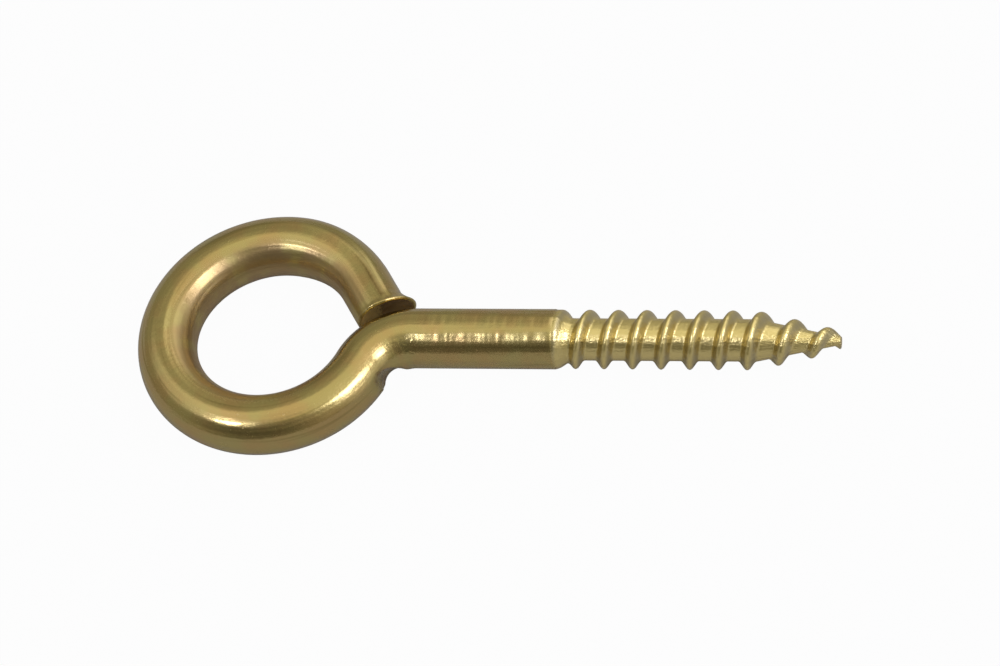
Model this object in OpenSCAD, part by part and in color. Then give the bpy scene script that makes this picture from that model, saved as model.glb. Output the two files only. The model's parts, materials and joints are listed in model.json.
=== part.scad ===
// Screw eye: one piece of round wire, bent into an eye at one end and rolled with
// a coarse wood-screw thread and a gimlet point at the other.
// It lies on its side: the eye's plane is horizontal and +Z points up. +X runs along
// the shank towards the point. The origin is on the shank's axis, where the bend of
// the neck ends and the plain shank begins. Lengths are in millimetres.

/* [Wire] */
// Diameter of the wire, which the plain shank keeps
wire_d = 6; // [5.6:0.1:6.4]

/* [Eye] */
// Inside diameter of the eye
eye_inner_d = 15.5; // [14:0.5:20]
// How far the eye's centre lies beside the shank's axis, away from the neck
eye_offset = 0.35; // [0:0.05:1]
// Inside radius of the neck's bend, between the shank and the eye
neck_inner_r = 2.5; // [2:0.1:4]

/* [Free end] */
// Direction from the eye's centre, measured from the shank's, where the wire starts to thin
thin_direction = 82; // [60:1:100]
// Direction from the eye's centre where the wire goes straight
tail_direction = 33; // [32:0.5:40]
// Length of the straight tail, measured along its axis to the cut
tail_len = 4.2; // [3.8:0.1:4.4]
// Diameter of the tail, which the shear has drawn thinner than the wire
tail_d = 5.4; // [5:0.1:5.6]
// Turn of the cut from square in the eye's plane, longer on the outer side
cut_skew = 6; // [0:1:10]
// Lean of the cut from square across the eye's plane, longer on top
cut_lean = 4; // [0:1:10]
// How far the lip that the shear pushed out stands proud of the tail's outer side
lip_proud = 0.8; // [0.3:0.1:1.2]
// Length of the lip along the tail
lip_len = 1.4; // [0.8:0.1:2]

/* [Die mark] */
// Radius of the die's nose, pressed into the inner side of the neck's bend
die_r = 1.3; // [1:0.1:1.5]
// Distance of the nose's centre from the end of the bend, back towards the eye
die_back = 1.9; // [1.6:0.1:2.2]
// Depth of the mark, measured from the shank's inner side
die_bite = 0.45; // [0.2:0.05:0.6]
// Lean of the nose, which presses the lower half of the wire more than the upper
die_lean = 25; // [0:1:30]

/* [Shank and thread] */
// Length of the plain shank, up to where the thread's groove begins
plain_len = 14.2; // [8:0.2:30]
// Length from the plain shank to the end of the point
thread_len = 28.6; // [22:0.2:40]
// Diameter over the thread's crests, just under the wire's
crest_d = 5.9; // [5.2:0.1:6]
// Diameter of the core, at the bottom of the groove
core_d = 4.2; // [3.8:0.05:4.6]
// Distance from one ridge of the thread to the next
thread_pitch = 2.88; // [2.4:0.02:3.4]
// Width of a ridge at its foot
ridge_foot = 1.5; // [1.3:0.05:1.8]
// Width of a ridge's rounded crest
ridge_crest = 0.4; // [0.2:0.05:0.6]
// Length along the shank over which the groove deepens
groove_run = 1.9; // [1:0.1:6]
// Direction in which the thread winds
thread_hand = "left"; // ["left", "right"]
// Angle at which the groove begins, turned about the shank's axis
thread_phase = 89; // [0:1:359]

/* [Point] */
// Length over which the core and the thread taper
point_len = 8.4; // [6:0.2:12]
// How much longer the thread's pitch is over the point
point_stretch = 1.15; // [1:0.05:1.3]
// Diameter of the core at the blunt end of the point
point_end_d = 0.8; // [0.6:0.1:1.2]
// Height of the ridge at the end of the point
point_ridge = 0.65; // [0.1:0.05:0.7]
// Length of the worn rim round the blunt end
point_rim = 0.3; // [0.1:0.05:0.5]

/* [Hidden] */
$fn = 96;
brass = [0.70, 0.60, 0.36];

wire_r = wire_d / 2;
eye_r = (eye_inner_d + wire_d) / 2;
neck_r = wire_r + neck_inner_r;

// Bending draws the neck and the tail a hair thinner than the wire, and each reaches
// a little way into the piece that it grows from.
drawn_r = wire_r - 0.02;
reach = 0.2;

// The neck's arc and the eye's arc touch on the line between their centres.
neck_centre = [0, -neck_r];
eye_centre = [-sqrt(pow(eye_r + neck_r, 2) - pow(neck_r + eye_offset, 2)), eye_offset];
neck_direction = atan2(neck_r + eye_offset, -eye_centre[0]);

function degrees(length, radius) = length / radius * 180 / PI;
function clamp(value) = min(1, max(0, value));
function mix(from, to, share) = from + (to - from) * share;
function ease(share) = share * share * (3 - 2 * share);

// The wire's round section, swept about a centre in the eye's plane.
module arc_of_wire(centre, sweep_r, section_r, from, to) {
    translate([centre[0], centre[1], 0])
        rotate([0, 0, from])
            rotate_extrude(angle = to - from)
                translate([sweep_r, 0])
                    circle(r = section_r);
}

// A skin over closed rings of points, each with as many points as the last.
module loft(rings) {
    around = len(rings[0]);
    end = (len(rings) - 1) * around;
    sides = [for (k = [0:len(rings) - 2], i = [0:around - 1])
        let (a = k * around + i, b = k * around + (i + 1) % around)
        each [[a, b + around, b], [a, a + around, b + around]]];
    caps = [[for (i = [0:around - 1]) i], [for (i = [around - 1:-1:0]) end + i]];
    polyhedron(points = [for (ring = rings) each ring], faces = concat(sides, caps), convexity = 4);
}

module eye() {
    arc_of_wire(eye_centre, eye_r, wire_r, thin_direction, 360 - neck_direction);
}

// The neck turns the wire out of the eye and into line with the shank. The nose of the
// bending die has left its mark on the inner side, deepest below the middle.
module neck() {
    overshoot = 1;
    seat = degrees(reach, neck_r);
    difference() {
        arc_of_wire(neck_centre, neck_r, drawn_r, 90 - seat, 180 - neck_direction + seat);
        translate([-die_back, die_bite - wire_r - die_r, -wire_r / 2])
            rotate([die_lean, 0, 0])
                cylinder(r = die_r, h = 2 * (wire_d + overshoot), center = true);
    }
}

// The last part of the eye thins into a straight tail, which ends at the shear's cut.
// A lip stands out on the tail's outer side, where the shear dragged the metal.
tail_sides = 40;
curved_rings = 14;
straight_rings = 8;
tail_r = tail_d / 2;

// A point of the tail's section: sideways from the eye's arc, and up.
function section(r, turn) = [r * cos(turn), r * sin(turn)];
function on_tail(at, direction, along) =
    let (out = [cos(direction), sin(direction)])
    let (place = eye_centre + (eye_r + at[0]) * out + along * [out[1], -out[0]])
    [place[0], place[1], at[1]];
function lip(along, turn) =
    lip_proud * pow(clamp(1 + (along - tail_len) / lip_len), 1.5) * pow(max(0, cos(turn)), 2);
function cut_at(at) = tail_len + at[0] * tan(cut_skew) + at[1] * tan(cut_lean);

module free_end() {
    turns_of = [for (i = [0:tail_sides - 1]) 360 * i / tail_sides];
    from = thin_direction + degrees(reach, eye_r);
    curved = [for (k = [0:curved_rings])
        let (share = k / curved_rings)
        [for (turn = turns_of)
            on_tail(section(mix(drawn_r, tail_r, ease(share)), turn), mix(from, tail_direction, share), 0)]];
    straight = [for (k = [1:straight_rings])
        let (share = k / straight_rings)
        [for (turn = turns_of)
            let (at = section(tail_r + lip(share * tail_len, turn), turn))
            on_tail(at, tail_direction, share * cut_at(at))]];
    loft(concat(curved, straight));
}

module plain_shank() {
    rotate([0, 90, 0])
        cylinder(r = wire_r, h = plain_len);
}

// The thread is one skin, wound from a strip that is one pitch wide. Each step of the
// strip has the points of the profile below, and the next turn takes up its far edge.
// It starts inside the plain shank, a hair thinner, and runs past the point, which is
// then cut blunt.
steps = 40;
run_in = 1.2;
skin = 0.03;
core_r = core_d / 2;
ridge_h = (crest_d - core_d) / 2;
thread_end = plain_len + thread_len;
point_start = thread_end - point_len;
foot = ridge_foot / thread_pitch;
crest = ridge_crest / thread_pitch;
// Each point: place across the pitch, and height from the core to the crest.
profile = [
    [0, 0],
    [1 - foot, 0],
    [1 - foot / 2 - crest / 2, 0.88],
    [1 - foot / 2, 1],
    [1 - foot / 2 + crest / 2, 0.88],
];
across = len(profile);
turns = run_in + (thread_len - point_len + point_len / point_stretch) / thread_pitch;
last = floor(turns * steps);

// Share of the point that lies behind a place on the axis.
function tapered(x) = clamp((x - point_start) / point_len);
function core_at(x) = mix(core_r, point_end_d / 2, tapered(x));
function groove_r(x) = mix(wire_r - skin, core_at(x), ease(clamp((x - plain_len) / groove_run)));
function crest_r(x) =
    max(groove_r(x), core_at(x) + mix(ridge_h, point_ridge, pow(tapered(x), 2)));
function stretched(x) = x < point_start ? x : point_start + (x - point_start) * point_stretch;
function strip_point(i, j) =
    let (x = stretched(plain_len + thread_pitch * (i / steps - run_in + profile[j][0])))
    let (r = mix(groove_r(x), crest_r(x), profile[j][1]))
    let (turn = 360 * i / steps)
    [x, r * cos(turn), r * sin(turn)];
// A strip's far edge is the near edge of the strip one turn on.
function id(i, j) =
    j == across ? id(i + steps, 0) :
    i <= last ? i * across + j : (last + 1) * across + i - last - 1;

module wound_thread() {
    points = concat(
        [for (i = [0:last], j = [0:across - 1]) strip_point(i, j)],
        [for (i = [last + 1:last + steps]) strip_point(i, 0)],
        [for (i = [0, last + steps]) [strip_point(i, 0)[0], 0, 0]]
    );
    start_hub = len(points) - 2;
    end_hub = len(points) - 1;
    start_rim = concat([for (i = [0:steps]) id(i, 0)], [for (j = [across - 1:-1:0]) id(0, j)]);
    end_rim = concat([for (j = [0:across]) id(last, j)], [for (i = [last + steps - 1:-1:last]) id(i, 0)]);
    strips = [for (i = [0:last - 1], j = [0:across - 1])
        each [[id(i, j), id(i, j + 1), id(i + 1, j + 1)], [id(i, j), id(i + 1, j + 1), id(i + 1, j)]]];
    start_cap = [for (k = [0:len(start_rim) - 2]) [start_hub, start_rim[k], start_rim[k + 1]]];
    end_cap = [for (k = [0:len(end_rim) - 2]) [end_hub, end_rim[k], end_rim[k + 1]]];
    mirror([0, 0, thread_hand == "left" ? 1 : 0])
        rotate([thread_phase, 0, 0])
            polyhedron(points = points, faces = concat(strips, start_cap, end_cap), convexity = 10);
}

module thread() {
    clear_r = wire_r + 1;
    rim_r = point_end_d / 2 + point_ridge;
    intersection() {
        wound_thread();
        rotate([0, 90, 0])
            union() {
                cylinder(r = clear_r, h = thread_end - clear_r);
                translate([0, 0, thread_end - clear_r])
                    cylinder(r1 = clear_r, r2 = rim_r - point_rim, h = clear_r);
            }
    }
}

module screw_eye() {
    color(brass)
        union() {
            eye();
            neck();
            free_end();
            plain_shank();
            thread();
        }
}

screw_eye();
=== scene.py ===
# %% [markdown]
# # A screw eye, made the way the bench makes it
#
# A screw eye is one length of round wire. A machine cuts it off straight, rolls a thread
# and a gimlet point on one end, and then bends the other end round a pin until it closes
# into an eye. This lesson follows the same order: a straight blank, a rolled thread, a
# sheared end, and only then the bend. Everything starts from the fixed frame, which
# holds the part as it was constructed.

# %% Load the frame
import json
import math

import bmesh
import bpy
from mathutils import Matrix, Vector


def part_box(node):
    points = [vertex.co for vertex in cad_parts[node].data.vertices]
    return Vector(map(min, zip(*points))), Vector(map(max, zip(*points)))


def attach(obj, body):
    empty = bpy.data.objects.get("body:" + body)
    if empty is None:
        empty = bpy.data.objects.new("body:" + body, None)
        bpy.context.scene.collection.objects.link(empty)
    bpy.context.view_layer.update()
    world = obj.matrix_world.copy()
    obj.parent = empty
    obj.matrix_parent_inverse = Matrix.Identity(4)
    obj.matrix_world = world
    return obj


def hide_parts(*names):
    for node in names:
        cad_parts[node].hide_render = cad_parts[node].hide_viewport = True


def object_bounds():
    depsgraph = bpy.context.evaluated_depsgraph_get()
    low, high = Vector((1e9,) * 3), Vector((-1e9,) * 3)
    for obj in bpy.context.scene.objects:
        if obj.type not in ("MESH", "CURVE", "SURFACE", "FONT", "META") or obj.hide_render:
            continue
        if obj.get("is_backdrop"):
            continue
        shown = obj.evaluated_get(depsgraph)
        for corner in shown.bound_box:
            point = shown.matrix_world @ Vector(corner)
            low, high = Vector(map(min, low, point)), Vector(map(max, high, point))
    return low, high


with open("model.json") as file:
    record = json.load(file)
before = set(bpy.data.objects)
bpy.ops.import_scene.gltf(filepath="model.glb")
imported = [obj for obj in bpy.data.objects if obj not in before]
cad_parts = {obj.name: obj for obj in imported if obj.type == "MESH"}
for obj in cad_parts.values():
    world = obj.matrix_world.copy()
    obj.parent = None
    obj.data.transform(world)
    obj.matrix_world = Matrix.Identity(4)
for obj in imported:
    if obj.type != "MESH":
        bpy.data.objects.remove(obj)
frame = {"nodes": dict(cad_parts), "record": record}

frame_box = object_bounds()
print("pieces in the frame:", sorted(frame["nodes"]))

# %% [markdown]
# ## Sizes
#
# The piece modelled here has to be the size of the one in the frame. So the wire, the
# plain shank and the eye take their sizes from the frame's box and its mounts, and only
# what the frame doesn't state, such as the pitch of the thread, is written as a number.
# All lengths are millimetres until the mesh is finished, because a wire of 6 is easier
# to think about than one of 0.006.

# %% Sizes that the frame states
MM = 0.001
low_corner, high_corner = (Vector(corner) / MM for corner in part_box("screw_eye"))
mounts = {mount["name"]: mount for mount in frame["record"]["mounts"]}
wire_r = mounts["shank"]["dims"]["r_mm"]
plain_len = mounts["shank"]["dims"]["length_mm"]
eye_centre = Vector(mounts["eye"]["pos_m"]) / MM
eye_r = eye_centre.x - low_corner.x - wire_r
thread_end = high_corner.x
print(f"wire {2 * wire_r:.1f} mm, eye {2 * (eye_r - wire_r):.1f} mm inside, tip at {thread_end:.1f} mm")

# %% [markdown]
# The neck's bend touches both the shank's line and the eye's circle. That fixes its
# radius and how far it turns, so neither has to be guessed.

# %% The neck's bend
neck_r = (eye_centre.x ** 2 + eye_centre.y ** 2 - eye_r ** 2) / (2 * (eye_r - eye_centre.y))
neck_centre = Vector((0, -neck_r, 0))
neck_direction = math.atan2(neck_r + eye_centre.y, -eye_centre.x)
neck_turn = math.pi / 2 - neck_direction
print(f"neck bent to {neck_r:.2f} mm, through {math.degrees(neck_turn):.1f} degrees")

# %% [markdown]
# The length of wire in each bend is its radius times its angle. Laid end to end they
# give the straight blank. Its zero is where the neck ends and the plain shank begins,
# so the eye lies on the negative side. The last of it, up to the cut, is a short tail
# that the bend leaves straight.

# %% Lengths of the neck, the eye and the tail
# Seen from the eye's centre, where 0 points along the shank.
tail_direction = math.radians(33)
tail_len = 4.2

neck_len = neck_r * neck_turn
eye_turn = 2 * math.pi - neck_direction - tail_direction
eye_len = eye_r * eye_turn
tail_place = -(neck_len + eye_len)
cut_place = tail_place - tail_len
print(f"the blank is {thread_end - cut_place:.0f} mm long")

# %% [markdown]
# Over the point the thread's pitch is a little longer than along the shank. On the
# straight blank every turn has the same length, so the rolled part starts shorter there
# and is stretched later.

# %% Length of the thread
pitch = 2.88
point_len = 8.4
point_stretch = 1.15
point_start = thread_end - point_len
rolled_len = point_start - plain_len + point_len / point_stretch
print(f"the thread has {rolled_len / pitch:.1f} turns")

# %% [markdown]
# ## The blank
#
# The blank is a tube of rings. A curve with a round bevel would give a tube too, but its
# rings can't turn with a thread. So one circle is spun along the axis with no angle, only
# a step, which is a quick way to pull a ring out many times.

# %% Start with one ring
AROUND = 96

blank = bmesh.new()
turn_to_x = Matrix.Rotation(math.pi / 2, 4, "Y")
start = bmesh.ops.create_circle(blank, segments=AROUND, radius=wire_r, matrix=turn_to_x)
bmesh.ops.translate(blank, verts=start["verts"], vec=(cut_place, 0, 0))
cut_edges = list(blank.edges)
print("first ring:", len(cut_edges), "edges")


# %% Pull the ring along the wire
TAIL_RINGS = 44
EYE_RINGS = 160
NECK_RINGS = 72
SHANK_RINGS = 40


def pull(edges, length, rings, turn=0.0):
    """Pull a ring of edges along the blank, and return the last ring."""
    made = bmesh.ops.spin(blank, geom=edges, cent=(0, 0, 0), axis=(1, 0, 0),
                          dvec=(length / rings, 0, 0), angle=turn, steps=rings)
    return [item for item in made["geom_last"] if isinstance(item, bmesh.types.BMEdge)]


edges = pull(cut_edges, tail_len, TAIL_RINGS)
edges = pull(edges, eye_len, EYE_RINGS)
edges = pull(edges, neck_len, NECK_RINGS)
edges = pull(edges, plain_len, SHANK_RINGS)
print("plain part:", len(blank.verts), "points")

# %% [markdown]
# Over the thread the spin also turns, one whole turn for each pitch. The lines of the
# mesh then run along the ridge instead of across it, so its crest stays crisp with few
# faces. The hand says which way it winds: 1 is the usual right-handed thread, and -1 the
# left-handed one that this part has.

# %% Pull and turn the part for the thread
RINGS_A_TURN = 36
hand = -1
thread_turn = hand * 2 * math.pi * rolled_len / pitch
thread_rings = round(rolled_len / pitch * RINGS_A_TURN)
tip_edges = pull(edges, rolled_len, thread_rings, thread_turn)
print("blank:", len(blank.verts), "points")

# %% [markdown]
# Both ends are closed by filling the open ring and stepping inwards with insets. Each
# step goes in, and out or down a little. At the cut that rounds the rim and leaves the
# face slightly hollow, and at the tip it only takes off the sharp edge. The middle is
# closed with a fan of triangles.

# %% Close both ends
# Each step: how far inwards, and how far out of the face, or into it below zero.
CUT_STEPS = ((0.10, 0.12), (0.12, 0.06), (0.1, 0.0), (0.12, -0.08),
             (0.35, -0.16), (0.6, -0.12), (0.6, -0.04))
TIP_STEPS = ((0.08, 0.03), (0.1, 0.0), (0.12, -0.02))


def close_end(edges, steps):
    """Fill an open ring, and inset it once for each step."""
    face = bmesh.ops.holes_fill(blank, edges=edges, sides=AROUND)["faces"][0]
    for thickness, depth in steps:
        bmesh.ops.inset_region(blank, faces=[face], thickness=thickness, depth=depth)
    bmesh.ops.poke(blank, faces=[face])


bmesh.ops.recalc_face_normals(blank, faces=blank.faces)
close_end(cut_edges, CUT_STEPS)
close_end(tip_edges, TIP_STEPS)
print("blank closed:", all(edge.is_manifold for edge in blank.edges))

# %% [markdown]
# ## What the points remember
#
# Patterns such as drawing lines have to follow the wire round its bends. A flat image
# wrapped round the wire would stretch there, so instead each point remembers where it
# was on the straight blank, before anything is bent. It also remembers how much it
# belongs to each zone of the finish, from 0 to 1. The sums below are used for that and
# for the shapes.


# %% Small sums, and a zone for the finish
def clamp(value):
    return min(1.0, max(0.0, value))


def climb(value, start, run):
    """Climb from 0 to 1 over a run that begins at start."""
    return clamp((value - start) / run)


def mix(low, high, share):
    return low + (high - low) * share


def ease(share):
    """Start and end a climb gently."""
    return share * share * (3 - 2 * share)


def new_zone(name):
    """Let each point remember how much it belongs to a zone."""
    return blank.verts.layers.float.new(name)


print("half way up an eased climb:", ease(climb(2.0, 1.0, 2.0)))

# %% Remember the straight place
place_layer = blank.verts.layers.float_vector.new("wire_place")
for vert in blank.verts:
    vert[place_layer] = vert.co
print("the straight place of", len(blank.verts), "points is kept")

# %% [markdown]
# Two zones are known already. The sheared zone is the face of the cut, inside its rim.
# The rubbed zone is the inner side of the eye, which slid on the pin that it was bent
# round, so it is rougher. Its darker brown is painted shade on the side that faces into the
# eye. It begins where the neck has turned into the eye.

# %% Mark the cut face, and the rubbed inner side with its painted shade
FACE_DEPTH = 0.5
RIM_WIDTH = 0.3
RUBBED_FROM = 0.2
RUBBED_RUN = 0.5

sheared_layer = new_zone("sheared")
# The inner side's mask makes it rougher, and also carries painted shade: a darker brown on the eye's
# inward-facing side.
rubbed_and_shaded_layer = new_zone("rubbed_and_shaded")
for vert in blank.verts:
    on_face = vert.co.x < cut_place + FACE_DEPTH and vert.co.yz.length < wire_r - RIM_WIDTH
    vert[sheared_layer] = 1.0 if on_face else 0.0
    inward = vert.co.y / wire_r * climb(-vert.co.x, neck_len, neck_len)
    vert[rubbed_and_shaded_layer] = climb(inward, RUBBED_FROM, RUBBED_RUN)
print("the cut face has", sum(vert[sheared_layer] > 0 for vert in blank.verts), "points")

# %% [markdown]
# ## The rolled thread
#
# Flat dies roll the thread cold: they press a groove into the wire, and the metal that
# they push aside rises as a rounded ridge. A loose helix joined on with a boolean would
# leave a hard line at its foot. Here each point of the blank only moves towards or away
# from the axis, by a rule that reads its place along the wire and round it.
#
# The groove starts shallow, which leaves the slope behind the plain shank. Over the
# point the core tapers, the ridge gets lower and the pitch a little longer.

# %% Rules of the groove and the crest
core_r = 2.1
crest_r = 2.95
groove_run = 1.9
groove_start_depth = 0.03
point_end_r = 0.4
point_ridge = 0.65


def stretched(x):
    """Lengthen the pitch over the point."""
    return x if x < point_start else point_start + (x - point_start) * point_stretch


def core_at(x):
    return mix(core_r, point_end_r, climb(x, point_start, point_len))


def groove_at(x):
    return mix(wire_r - groove_start_depth, core_at(x), ease(climb(x, plain_len, groove_run)))


def crest_at(x):
    ridge = mix(crest_r - core_r, point_ridge, climb(x, point_start, point_len) ** 2)
    return max(groove_at(x), core_at(x) + ridge)


half_way = point_start + point_len / 2
print(f"radius half way along the point: {core_at(half_way):.2f} to {crest_at(half_way):.2f} mm")

# %% [markdown]
# A ridge has a round crest, straight flanks and a small rounding at the foot, where the
# die's edge is worn. All three lie on one curve that bends smoothly from one to the
# next, so the light runs over the ridge without a break. The roundings are given as
# shares of the ridge's half width.

# %% Rule of the ridge
ridge_half = 0.94
crest_round = 0.42
foot_round = 0.3
ridge_foot = 1.5
# The winding starts run_in turns before the plain shank ends, at the angle thread_phase,
# and the crest lies half a foot's width before the end of each pitch.
run_in = 1.2
thread_phase = math.radians(89)
crest_share = 1 - ridge_foot / (2 * pitch)


def ridge_height(away):
    """Height of a ridge, as a share, at a share of its half width."""
    slope = 1 / (1 - crest_round / 2 - foot_round / 2)
    if away < crest_round:
        return 1 - slope * away ** 2 / (2 * crest_round)
    if away < 1 - foot_round:
        return 1 - slope * (away - crest_round / 2)
    return slope * max(0.0, 1 - away) ** 2 / (2 * foot_round)


def ridge_share(straight_x, angle):
    """How high a place stands on the ridge, from 0 in the groove to 1 on the crest."""
    turns = (straight_x - plain_len) / pitch + run_in - hand * (angle + thread_phase) / (2 * math.pi)
    away = abs((turns - crest_share + 0.5) % 1 - 0.5) * pitch
    return ridge_height(away / ridge_half)


print(f"half way down its flank a ridge is {ridge_height(0.5):.2f} of its height")

# %% [markdown]
# The end of the screw's point is worn to a small blunt cone, so nothing may stand
# outside that cone. While the thread is rolled, the mesh's points also remember that
# they are rolled, and how far they are from both crest and groove, because the plating
# is thinner on the flanks.

# %% Roll the thread
ROLLED_EDGE = 0.4
point_rim = 0.3
cone_r = wire_r + 1
rim_r = point_end_r + point_ridge - point_rim
rim_slope = (cone_r - rim_r) / cone_r

rolled_layer = new_zone("rolled")
flank_layer = new_zone("flank")
for vert in blank.verts:
    straight_x, y, z = vert.co
    if straight_x < plain_len:
        continue
    x = min(stretched(straight_x), thread_end)
    share = ridge_share(straight_x, math.atan2(z, y))
    radius = mix(groove_at(x), crest_at(x), share)
    radius = min(radius, rim_r + rim_slope * (thread_end - x))
    vert[rolled_layer] = climb(x, plain_len, ROLLED_EDGE)
    vert[flank_layer] = 4 * share * (1 - share) * vert[rolled_layer]
    vert.co = (x, y / wire_r * radius, z / wire_r * radius)
print("thread rolled over", round(thread_end - plain_len, 1), "mm")

# %% [markdown]
# ## The sheared end
#
# The shear that cuts the wire pinches it first, so the tail gets thinner towards the
# cut. The cut isn't quite square. The blade drags a lip out on the tail's outer side,
# and raises a small burr along the upper rim. A boolean would leave a clean, sawn end.
# Moving the rings that are there keeps the rim round and the mesh whole.

# %% Sizes of the free end
tail_r = 2.7
thin_direction = math.radians(82)
thin_len = eye_r * (thin_direction - tail_direction)
# The cut is turned in the eye's plane, and leans across it.
cut_skew = math.radians(6)
cut_lean = math.radians(4)
lip_proud = 0.8
lip_len = 1.4
burr_proud = 0.12
burr_len = 0.6
print(f"the wire thins over {thin_len:.1f} mm before the tail")

# %% [markdown]
# On its way out the blade also scores the tail: a shallow groove runs back from the cut along
# its upper side, and fades. Its darker colour is painted reflection, standing in for a dark
# streak that the tail reflects there. It is too shallow to be a shape, so the points only
# remember it, and the finish shows it.

# %% Mark where the blade dragged, and its painted dark streak
drag_len = 7.0
drag_fade = 3.0
drag_start = 0.4
drag_start_run = 0.5
# Across the tail, as shares of its radius: the mark's middle, half width and soft edge.
drag_side = 0.24
drag_half = 0.168
drag_edge = 0.12

# The drag mark's darker colour is painted reflection of a dark streak along the tail; its shallow
# groove is relief.
dragged_layer = new_zone("dragged")
for vert in blank.verts:
    x, y, z = vert.co
    if z <= 0:
        continue
    from_cut = x - cut_place
    from_middle = abs(-y / math.hypot(y, z) - drag_side)
    vert[dragged_layer] = (climb(drag_half - from_middle, 0, drag_edge)
                           * climb(from_cut, drag_start, drag_start_run)
                           * climb(drag_len - from_cut, 0, drag_fade))
print("the drag mark has", sum(vert[dragged_layer] > 0 for vert in blank.verts), "points")

# %% [markdown]
# Now the tail is pinched, and its last rings are pushed out to make the lip and the
# burr. Each ring of the tail is then leant over, the last one most, which turns the
# square end into the skewed cut.


# %% Pinch and cut the tail
def lip_at(along, outward, up):
    """How far the lip and the burr stand proud, at a place along the tail and round it."""
    burr = burr_proud * climb(along, tail_len - burr_len, burr_len) ** 2 * max(0.0, up) ** 2
    lip = lip_proud * climb(along, tail_len - lip_len, lip_len) ** 1.5 * max(0.0, outward) ** 2
    return burr + lip


for vert in blank.verts:
    x, y, z = vert.co
    if x > tail_place + thin_len:
        continue
    along = tail_place - x
    around_r = math.hypot(y, z)
    outward, up = (-y / around_r, z / around_r) if around_r > 0 else (0.0, 0.0)
    radius = mix(wire_r, tail_r, ease(clamp((along + thin_len) / thin_len)))
    if along > 0:
        radius += lip_at(along, outward, up)
    y, z = y / wire_r * radius, z / wire_r * radius
    lean = (-y * math.tan(cut_skew) + z * math.tan(cut_lean)) * clamp(along / tail_len)
    vert.co = (x - lean, y, z)
print(f"tail thinned to {2 * tail_r:.1f} mm")

# %% [markdown]
# ## The bend
#
# Now the blank is wound round two centres: backwards from the shank round the neck's,
# then the other way round the eye's, and the tail stays straight. A Curve modifier could
# do this too, but a bend is only a change of place. One rule for all points is shorter,
# and says plainly where each length of wire goes.


# %% Rule of the bend
def bent(point):
    """Where a point of the straight blank lies once the wire is bent."""
    x, y, z = point
    if x >= 0:
        return Vector((x, y, z))
    if x >= -neck_len:
        angle = math.pi / 2 - x / neck_r
        out = Vector((math.cos(angle), math.sin(angle), 0))
        return neck_centre + out * (neck_r + y) + Vector((0, 0, z))
    travelled = -x - neck_len
    angle = 2 * math.pi - neck_direction - min(travelled, eye_len) / eye_r
    out = Vector((math.cos(angle), math.sin(angle), 0))
    onward = Vector((out.y, -out.x, 0))
    straight = max(0.0, travelled - eye_len)
    return eye_centre + out * (eye_r - y) + onward * straight + Vector((0, 0, z))


print("the cut's middle goes to", tuple(round(value, 2) for value in bent((cut_place, 0, 0))))

# %% Bend the wire
for vert in blank.verts:
    vert.co = bent(vert.co)
print("bent, eye's centre at", tuple(round(value, 2) for value in eye_centre))

# %% [markdown]
# ## The die's mark
#
# The nose of the bending die presses into the inner side of the neck. It leans, so it
# bites more into the lower half of the wire than into the upper. A boolean would cut the
# mark with knife edges. Here the points in the nose's way move straight into the wire
# until they are clear of it, and so the metal is pushed and not cut.
#
# The steep side of the mark, towards the eye, keeps some dark scale. The points there
# remember that they were pressed.

# %% Press the die's nose into the neck
SCALE_FROM = 0.2
SCALE_STEEPNESS = 1.5
NECK_REACH = 5
die_r = 1.3
nose_len = 4 * die_r
die_bite = 0.45
die_back = 1.9
die_lean = math.radians(33)
die_centre = Vector((-die_back, die_bite - wire_r - die_r, 0))
into_wire = (die_centre - neck_centre).normalized()

pressed_layer = new_zone("pressed")
marked = []
for vert in blank.verts:
    offset = vert.co - die_centre
    # The nose leans: the higher up, the farther it stands from the wire.
    offset.y += (offset.z + wire_r / 2) * math.tan(die_lean)
    offset.z = 0
    depth = offset.dot(into_wire)
    aside = (offset - into_wire * depth).length
    if aside < die_r and abs(vert.co.x) < NECK_REACH and -nose_len < depth < die_r:
        clear = math.sqrt(die_r ** 2 - aside ** 2)
        if depth < clear:
            vert.co += into_wire * (clear - depth)
            vert[pressed_layer] = clamp(-SCALE_STEEPNESS * offset.x / die_r - SCALE_FROM)
            marked.append(vert)
print("the die moved", len(marked), "points")

# %% [markdown]
# Pressed metal has no sharp edges. A few rounds of smoothing soften the whole mark. On
# the shank's side the wire slid along the nose and flowed, so that edge is smoothed for
# longer and a little farther out, while the steep side stays steep.

# %% Soften the mark
MARK_ROUNDS = 4
SHANK_ROUNDS = 16
SHANK_GROWTH = 4
shank_from = die_centre.x + 0.4

near = {other for vert in marked for edge in vert.link_edges for other in edge.verts}
shank_side = {vert for vert in near if vert.co.x > shank_from}
for _ in range(SHANK_GROWTH):
    shank_side |= {other for vert in shank_side for edge in vert.link_edges for other in edge.verts
                   if other.co.x > shank_from}
for verts, rounds in ((near, MARK_ROUNDS), (shank_side, SHANK_ROUNDS)):
    for _ in range(rounds):
        bmesh.ops.smooth_vert(blank, verts=list(verts), factor=0.5,
                              use_axis_x=True, use_axis_y=True, use_axis_z=True)
print("softened", len(near), "points, and", len(shank_side), "of the shank's side for longer")

# %% [markdown]
# Next to the mark the bend has squeezed the metal together, and its skin has crumpled.
# The folds are finer than the mesh, so this is one more zone for the finish.

# %% Mark the crumpled metal
crease_centre = Vector((-0.5, -2.6, 1.6))
crease_reach = 1.8
crease_fade = 1.2

crumpled_layer = new_zone("crumpled")
for vert in blank.verts:
    vert[crumpled_layer] = climb(crease_reach - (vert.co - crease_centre).length, 0, crease_fade)
print("the crumpled zone has", sum(vert[crumpled_layer] > 0 for vert in blank.verts), "points")

# %% [markdown]
# ## One mesh
#
# The finished wire becomes one smooth object that stands for the node in the frame. It
# is scaled to metres in its mesh, so the object itself stays unturned and unscaled.

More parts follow.
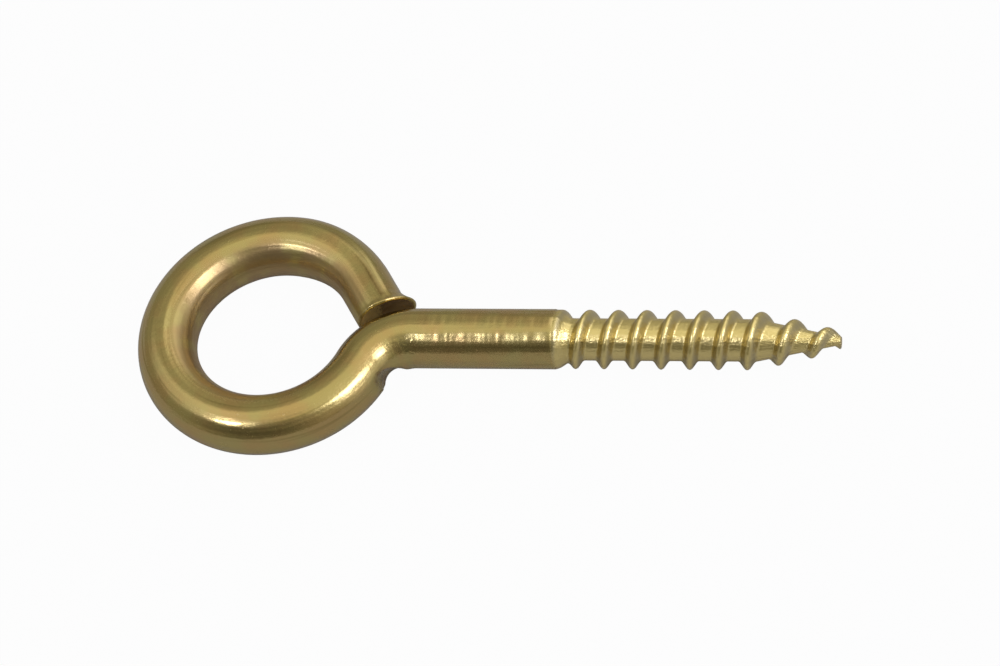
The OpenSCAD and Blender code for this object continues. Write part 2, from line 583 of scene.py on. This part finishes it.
# %% Make the piece
bmesh.ops.recalc_face_normals(blank, faces=blank.faces)
bmesh.ops.scale(blank, verts=blank.verts, vec=(MM, MM, MM))
for face in blank.faces:
    face.smooth = True
wire_mesh = bpy.data.meshes.new("bent_wire")
blank.to_mesh(wire_mesh)
blank.free()
bent_wire = bpy.data.objects.new("bent_wire", wire_mesh)
bpy.context.scene.collection.objects.link(bent_wire)
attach(bent_wire, "root")
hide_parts("screw_eye")
print("bent_wire:", len(wire_mesh.polygons), "faces")

# %% [markdown]
# ## A shader kit
#
# A finish is a small sum: so much of this noise, less of that mask. Nodes wired by hand
# hide the sum. The class below wraps a shader socket, so that the sum is written in
# Python and adds its own Math nodes.


# %% Sockets that Python can count with
class Shade:
    """A number that changes over a surface."""

    def __init__(self, socket):
        self.socket = socket

    def _with(self, operation, first, second):
        recipe = Recipe(self.socket.id_data)
        return recipe.shade("ShaderNodeMath", {"operation": operation}, {0: first, 1: second})

    def __add__(self, other):
        return self._with("ADD", self, other)

    def __sub__(self, other):
        return self._with("SUBTRACT", self, other)

    def __rsub__(self, other):
        return self._with("SUBTRACT", other, self)

    def __mul__(self, other):
        return self._with("MULTIPLY", self, other)

    __radd__ = __add__
    __rmul__ = __mul__


print("a shade adds, subtracts and multiplies")

# %% [markdown]
# Every other node comes from one method, which is told the node's type, its settings and
# what goes into its sockets. The methods after it are short names for the few nodes that
# a finish needs again and again.


# %% A recipe that adds nodes
class Recipe:
    """The node tree of one finish."""

    def __init__(self, tree):
        self.tree = tree

    def node(self, kind, settings, inputs):
        """Add a node, set it up, and give its sockets values or links."""
        node = self.tree.nodes.new(kind)
        for name, value in settings.items():
            setattr(node, name, value)
        for name, value in inputs.items():
            if isinstance(value, Shade):
                self.tree.links.new(value.socket, node.inputs[name])
            elif isinstance(value, bpy.types.NodeSocket):
                self.tree.links.new(value, node.inputs[name])
            else:
                node.inputs[name].default_value = value
        return node

    def shade(self, kind, settings, inputs, output=0):
        return Shade(self.node(kind, settings, inputs).outputs[output])

    def attribute(self, name, output="Fac"):
        return self.shade("ShaderNodeAttribute", {"attribute_name": name}, {}, output)

    def noise(self, vector, scale, detail=2.0, roughness=0.5):
        return self.shade("ShaderNodeTexNoise", {}, {
            "Vector": vector, "Scale": scale, "Detail": detail, "Roughness": roughness}, "Fac")

    def band(self, value, low, high):
        """Turn a value between low and high into one between 0 and 1."""
        return self.shade("ShaderNodeMapRange", {"interpolation_type": "SMOOTHSTEP", "clamp": True}, {
            "Value": value, "From Min": low, "From Max": high, "To Min": 0.0, "To Max": 1.0})

    def stretch(self, vector, along, across):
        """Scale a place on the wire, along it and across it."""
        return self.node("ShaderNodeMapping", {}, {
            "Vector": vector, "Scale": (along, across, across)}).outputs[0]

    def mix(self, share, first, second):
        return self.node("ShaderNodeMix", {"data_type": "RGBA"}, {
            0: share, 6: first, 7: second}).outputs[2]


def new_finish(name):
    material = bpy.data.materials.new(name)
    material.use_nodes = True
    material.node_tree.nodes.clear()
    return material, Recipe(material.node_tree)


print("a recipe has", sum(callable(value) for value in vars(Recipe).values()), "methods")

# %% [markdown]
# ## Brass plating
#
# The wire is steel under a thin, bright plating of brass. Up close it is never an even
# mirror. The bath leaves warmer and cooler patches, and drawing leaves faint lines along
# the wire. Darker streaks along it are painted reflection: they stand in for dark streaks
# that the wire reflects. The thread is brighter than the rest, because the dies burnished
# it. Each zone that the points remember comes back here as a mask.

# %% Read what the points remember
brass, recipe = new_finish("brass_plating")
place = recipe.attribute("wire_place", "Vector").socket
sheared = recipe.attribute("sheared")
pressed = recipe.attribute("pressed")
rubbed_and_shaded = recipe.attribute("rubbed_and_shaded")
rolled = recipe.attribute("rolled")
flank = recipe.attribute("flank")
crumpled = recipe.attribute("crumpled")
dragged = recipe.attribute("dragged")

along_wire = recipe.shade("ShaderNodeSeparateXYZ", {}, {"Vector": place}, "X")
inward = recipe.shade("ShaderNodeSeparateXYZ", {}, {"Vector": place}, "Y")
on_shank = recipe.band(along_wire, low=0.0, high=2.0) * (1.0 - rolled)
print("masks read:", len(brass.node_tree.nodes), "nodes")

# %% [markdown]
# The patterns are noise, read at the place on the straight blank, so they follow the
# bends. Scales are per millimetre. A pattern with a small scale along the wire and a
# larger one across it becomes a streak.

# %% Patterns of the plating
clouds = recipe.noise(place, scale=0.35)
dimples = recipe.noise(place, scale=1.3, detail=1.0)
mottle = recipe.noise(place, scale=4.0, detail=1.0)
grain = recipe.noise(place, scale=7.0, roughness=0.6)
crumples = recipe.noise(place, scale=2.6, roughness=0.6)
draw_lines = recipe.noise(recipe.stretch(place, along=0.2, across=3.0), scale=1.0, roughness=0.6)
long_flats = recipe.noise(recipe.stretch(place, along=0.07, across=1.1), scale=1.0, detail=1.0)
chatter = recipe.noise(recipe.stretch(place, along=1.1, across=0.2), scale=1.0, detail=1.0)
# Painted reflection: darker streaks along the wire, standing in for dark streaks that the wire
# reflects.
reflected_streak_field = recipe.noise(recipe.stretch(place, along=0.06, across=1.5), scale=1.0)
reflected_streaks = recipe.band(reflected_streak_field, low=0.55, high=0.7)
scuffed = recipe.band(recipe.noise(place, scale=0.22, detail=1.0), low=0.5, high=0.65)
print("patterns added:", len(brass.node_tree.nodes), "nodes")

# %% [markdown]
# Tumbling with its fellows has left small round pits, in some places and not in others.
# Each cell of a Voronoi pattern gives one pit, and a coarse noise picks the places.

# %% Pits
pit_field = recipe.shade("ShaderNodeTexVoronoi", {}, {"Vector": place, "Scale": 1.1}, "Distance")
pit_zone = recipe.band(recipe.noise(place, scale=0.9), low=0.5, high=0.62)
pits = (1.0 - recipe.band(pit_field, low=0.06, high=0.14)) * pit_zone
print("pits added:", len(brass.node_tree.nodes), "nodes")

# %% [markdown]
# The colour is laid on in coats. Patches come first, then darker streaks along the wire,
# which are painted reflection, and the drag mark, whose darker colour is painted reflection
# too. Then come the bright thread with its thinner flanks, the painted shade on the inner
# side of the eye and the dark scale in the die's mark. The cut face comes last: the blade
# shears the first half of the wire smooth and bright, and the rest tears off rough and dull.

# %% Colour the brass
BRASS = (0.56, 0.455, 0.165, 1)
BRASS_WARM = (0.59, 0.415, 0.155, 1)
BRASS_INNER_SHADE = (0.44, 0.31, 0.14, 1)
# The next colour is the painted reflection of dark streaks along the wire.
BRASS_REFLECTED_STREAK = (0.34, 0.26, 0.08, 1)
BRASS_REFLECTED_DRAG_STREAK = (0.26, 0.18, 0.06, 1)
BRASS_BRIGHT = (0.87, 0.705, 0.27, 1)
BRASS_THIN = (0.62, 0.53, 0.28, 1)
BRASS_SHORN = (0.85, 0.66, 0.26, 1)
BRASS_TORN = (0.38, 0.24, 0.09, 1)
SCALE_RED = (0.2, 0.08, 0.03, 1)

colour = recipe.mix(recipe.band(clouds, low=0.35, high=0.7), BRASS, BRASS_WARM)
# Painted reflection: the streaks darken the colour along the wire.
colour = recipe.mix(reflected_streaks * 0.6, colour, BRASS_REFLECTED_STREAK)
# Painted reflection: a darker streak along the tail, on the drag mark.
colour = recipe.mix(dragged * 0.9, colour, BRASS_REFLECTED_DRAG_STREAK)
colour = recipe.mix(rolled, colour, BRASS_BRIGHT)
colour = recipe.mix(flank * 0.8, colour, BRASS_THIN)
# Painted shade: a darker brown on the inner side of the eye.
colour = recipe.mix(rubbed_and_shaded * recipe.band(clouds, low=0.2, high=0.6) * 0.8, colour, BRASS_INNER_SHADE)
patchy = 0.15 + recipe.band(dimples, low=0.45, high=0.65) * 0.5
colour = recipe.mix(pressed * patchy, colour, SCALE_RED)
torn = 1.0 - recipe.band(inward + mottle * 2.0, low=0.6, high=1.6)
colour = recipe.mix(sheared * 0.9, colour, recipe.mix(torn, BRASS_SHORN, BRASS_TORN))
print("coloured:", len(brass.node_tree.nodes), "nodes")

# %% [markdown]
# Roughness says how much a reflection is blurred. The plain wire is fairly glossy. The
# rubbed side, the cut face and the pits scatter the light most, and the grain keeps the
# gloss from being even.

# %% Roughen the brass
roughness = 0.2 + recipe.band(grain, low=0.3, high=0.8) * 0.08 + rolled * 0.08 + rubbed_and_shaded * 0.16
roughness = roughness + pits * 0.2 + sheared * 0.2 + pressed * 0.08 + on_shank * 0.04
print("roughened:", len(brass.node_tree.nodes), "nodes")

# %% [markdown]
# What makes metal look handled is mostly relief: dimples, long flats from drawing, the
# chatter of the drawing die across the shank, the mottled skin of the thread, and the
# crumpled neck. It is at most a few hundredths of a millimetre, too little for the
# outline, so a bump is enough and the mesh stays light.

# %% Give the brass its relief
BUMP_UNIT = 0.012 * MM
height = dimples * 1.2 + mottle * (0.5 + scuffed * 0.3 + rolled * 2.6) + crumples * crumpled * 4.5
height = height + chatter * (1.0 + on_shank * 5.0) + long_flats * 9.0
height = height - dragged * 1.5 + draw_lines * 0.4 + grain * 0.03 - pits * 0.5
bump = recipe.node("ShaderNodeBump", {}, {"Strength": 1.0, "Distance": BUMP_UNIT, "Height": height})
print(f"a height of 1 is {BUMP_UNIT / MM} mm")

# %% Finish the wire
surface = recipe.node("ShaderNodeBsdfPrincipled", {}, {
    "Base Color": colour, "Metallic": 1.0, "Roughness": roughness, "Normal": bump.outputs[0]})
recipe.node("ShaderNodeOutputMaterial", {}, {"Surface": surface.outputs[0]})
wire_mesh.materials.append(brass)
print("brass_plating:", len(brass.node_tree.nodes), "nodes")

# %% [markdown]
# ## The floor
#
# The part lies on a sheet of pale paper, wide enough to have no edge in view. A floor
# that is lit until it looks white would drown the part in light. So the paper is a
# middle grey, which keeps the light on the part plain, and the camera sees it lifted to
# white. A little of that white goes into reflections as well. It is only a little,
# because the wire lies on the paper and mostly reflects the part in its own shade.

# %% Lay the floor
FLOOR_SIZE = 3.0
floor_z = low_corner.z * MM
slab = bmesh.new()
bmesh.ops.create_grid(slab, x_segments=1, y_segments=1, size=FLOOR_SIZE / 2,
                      matrix=Matrix.Translation((0, 0, floor_z)))
floor_mesh = bpy.data.meshes.new("floor")
slab.to_mesh(floor_mesh)
slab.free()
floor = bpy.data.objects.new("floor", floor_mesh)
bpy.context.scene.collection.objects.link(floor)
floor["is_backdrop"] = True
print(f"floor at {floor_z / MM:.1f} mm")

# %% Paper for the floor
PAPER_GREY = (0.38, 0.38, 0.38, 1)
WHITE = (1, 1, 1, 1)
CAMERA_LIFT = 0.97
METAL_LIFT = 0.05

paper, recipe = new_finish("pale_paper")
rays = recipe.node("ShaderNodeLightPath", {}, {})
reflected = Shade(rays.outputs["Is Glossy Ray"]) + Shade(rays.outputs["Is Transmission Ray"])
lift = Shade(rays.outputs["Is Camera Ray"]) * CAMERA_LIFT + reflected * METAL_LIFT
matt = recipe.node("ShaderNodeBsdfDiffuse", {}, {"Color": PAPER_GREY})
white = recipe.node("ShaderNodeEmission", {}, {"Color": WHITE, "Strength": 1.0})
lifted = recipe.node("ShaderNodeMixShader", {}, {
    0: lift, 1: matt.outputs[0], 2: white.outputs[0]})
recipe.node("ShaderNodeOutputMaterial", {}, {"Surface": lifted.outputs[0]})
floor_mesh.materials.append(paper)
print("pale_paper:", len(paper.node_tree.nodes), "nodes")

# %% [markdown]
# ## The light
#
# Metal shows what stands round it, so the light is a small studio. Two soft lamps, high
# on the right and on the left, draw the bright lines along the wire. Three large, weak
# panels lay faint sheens beside them. All of them have the blue tint of daylight, so
# that the bright lines look nearly white on the yellow brass.


# %% Hang the lamps
DAYLIGHT = (0.94, 0.96, 1.34)


def hang(name, azimuth, elevation, distance, width, radiance):
    """Hang a soft square lamp that faces the middle of the part."""
    azimuth, elevation = math.radians(azimuth), math.radians(elevation)
    towards = Vector((math.cos(azimuth) * math.cos(elevation),
                      math.sin(azimuth) * math.cos(elevation), math.sin(elevation)))
    light = bpy.data.lights.new(name, "AREA")
    light.shape = "SQUARE"
    light.size = width
    light.energy = radiance * math.pi * width ** 2
    light.color = DAYLIGHT
    lamp = bpy.data.objects.new(name, light)
    lamp.location = towards * distance
    lamp.rotation_euler = towards.to_track_quat("Z", "Y").to_euler()
    bpy.context.scene.collection.objects.link(lamp)
    print(name, "hangs at", tuple(round(value, 2) for value in lamp.location))


hang("lamp_right", azimuth=-15, elevation=46, distance=1.0, width=0.46, radiance=5.0)
hang("lamp_left", azimuth=-136, elevation=53, distance=1.0, width=0.18, radiance=16.0)
hang("panel_behind", azimuth=55, elevation=40, distance=1.2, width=1.0, radiance=0.35)
hang("panel_left", azimuth=175, elevation=50, distance=1.2, width=0.9, radiance=0.15)
hang("panel_right", azimuth=-8, elevation=14, distance=1.2, width=0.9, radiance=0.2)

# %% [markdown]
# The room is brightest overhead and dim at its walls. Two patches of it are darker
# still, one in front and one behind: they give the dark bands that make metal read as
# metal. The camera itself sees the room as white, like the floor.

# %% Light the room
WALL_LEVEL = 0.3
CEILING_GAIN = 0.52
FRONT_SHADE = 0.68
BACK_SHADE = 0.45
ROOM_TINT = (1.0, 0.97, 0.86, 1)

world = bpy.data.worlds.new("studio")
world.use_nodes = True
world.node_tree.nodes.clear()
bpy.context.scene.world = world
recipe = Recipe(world.node_tree)
rays = recipe.node("ShaderNodeLightPath", {}, {})
direction = recipe.node("ShaderNodeTexCoord", {}, {}).outputs["Generated"]


def facing(x, y, z):
    """How closely a direction in the room agrees with this one."""
    return recipe.shade("ShaderNodeVectorMath", {"operation": "DOT_PRODUCT"}, {
        0: direction, 1: Vector((x, y, z)).normalized()}, "Value")


overhead = recipe.band(facing(0.15, 0.1, 0.95), low=0.2, high=1.0)
in_front = recipe.band(facing(-0.16, -0.85, 0.6), low=0.6, high=1.0)
behind = recipe.band(facing(-0.35, 0.6, 0.7), low=0.9, high=1.0)
room_level = WALL_LEVEL + overhead * CEILING_GAIN
room_level = room_level * (1.0 - in_front * FRONT_SHADE)
room_level = room_level * (1.0 - behind * BACK_SHADE)
camera_ray = Shade(rays.outputs["Is Camera Ray"])
level = room_level + camera_ray * (1.0 - room_level)
tint = recipe.mix(camera_ray, ROOM_TINT, WHITE)
room = recipe.node("ShaderNodeBackground", {}, {"Color": tint, "Strength": level})
recipe.node("ShaderNodeOutputWorld", {}, {"Surface": room.outputs[0]})
print("studio:", len(world.node_tree.nodes), "nodes")

# %% [markdown]
# ## The camera
#
# A long lens, half a metre away, looks down on the part from the front and a little
# from the right. It is rolled, so that the shank lies level in view.

# %% Set up the camera
CAMERA_AIM = Vector((8.4, 0.7, 0)) * MM
CAMERA_DISTANCE = 494.9 * MM
CAMERA_AZIMUTH = math.radians(23.03)
CAMERA_ELEVATION = math.radians(54.7)
CAMERA_ROLL = math.radians(-18.8)

lens = bpy.data.cameras.new("camera")
lens.sensor_fit = "HORIZONTAL"
lens.sensor_width = 36.0
lens.lens = 178.8
lens.clip_start = 0.01
lens.clip_end = 20.0
camera = bpy.data.objects.new("camera", lens)
turned = (Matrix.Rotation(CAMERA_AZIMUTH, 4, "Z")
          @ Matrix.Rotation(math.pi / 2 - CAMERA_ELEVATION, 4, "X")
          @ Matrix.Rotation(CAMERA_ROLL, 4, "Z"))
backwards = turned.to_3x3() @ Vector((0, 0, 1))
camera.matrix_world = Matrix.Translation(CAMERA_AIM + backwards * CAMERA_DISTANCE) @ turned
bpy.context.scene.collection.objects.link(camera)
bpy.context.scene.camera = camera
bpy.context.scene.view_settings.view_transform = "Standard"
print("camera at", tuple(round(value, 3) for value in camera.location))

# %% [markdown]
# ## Last look
#
# The modelled wire has to fill the frame's box and never leave it, so both boxes are
# printed side by side.

# %% Print both boxes
scene_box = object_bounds()
for name, box in (("frame", frame_box), ("scene", scene_box)):
    print(name, "box in mm:", [[round(value / MM, 2) for value in corner] for corner in box])
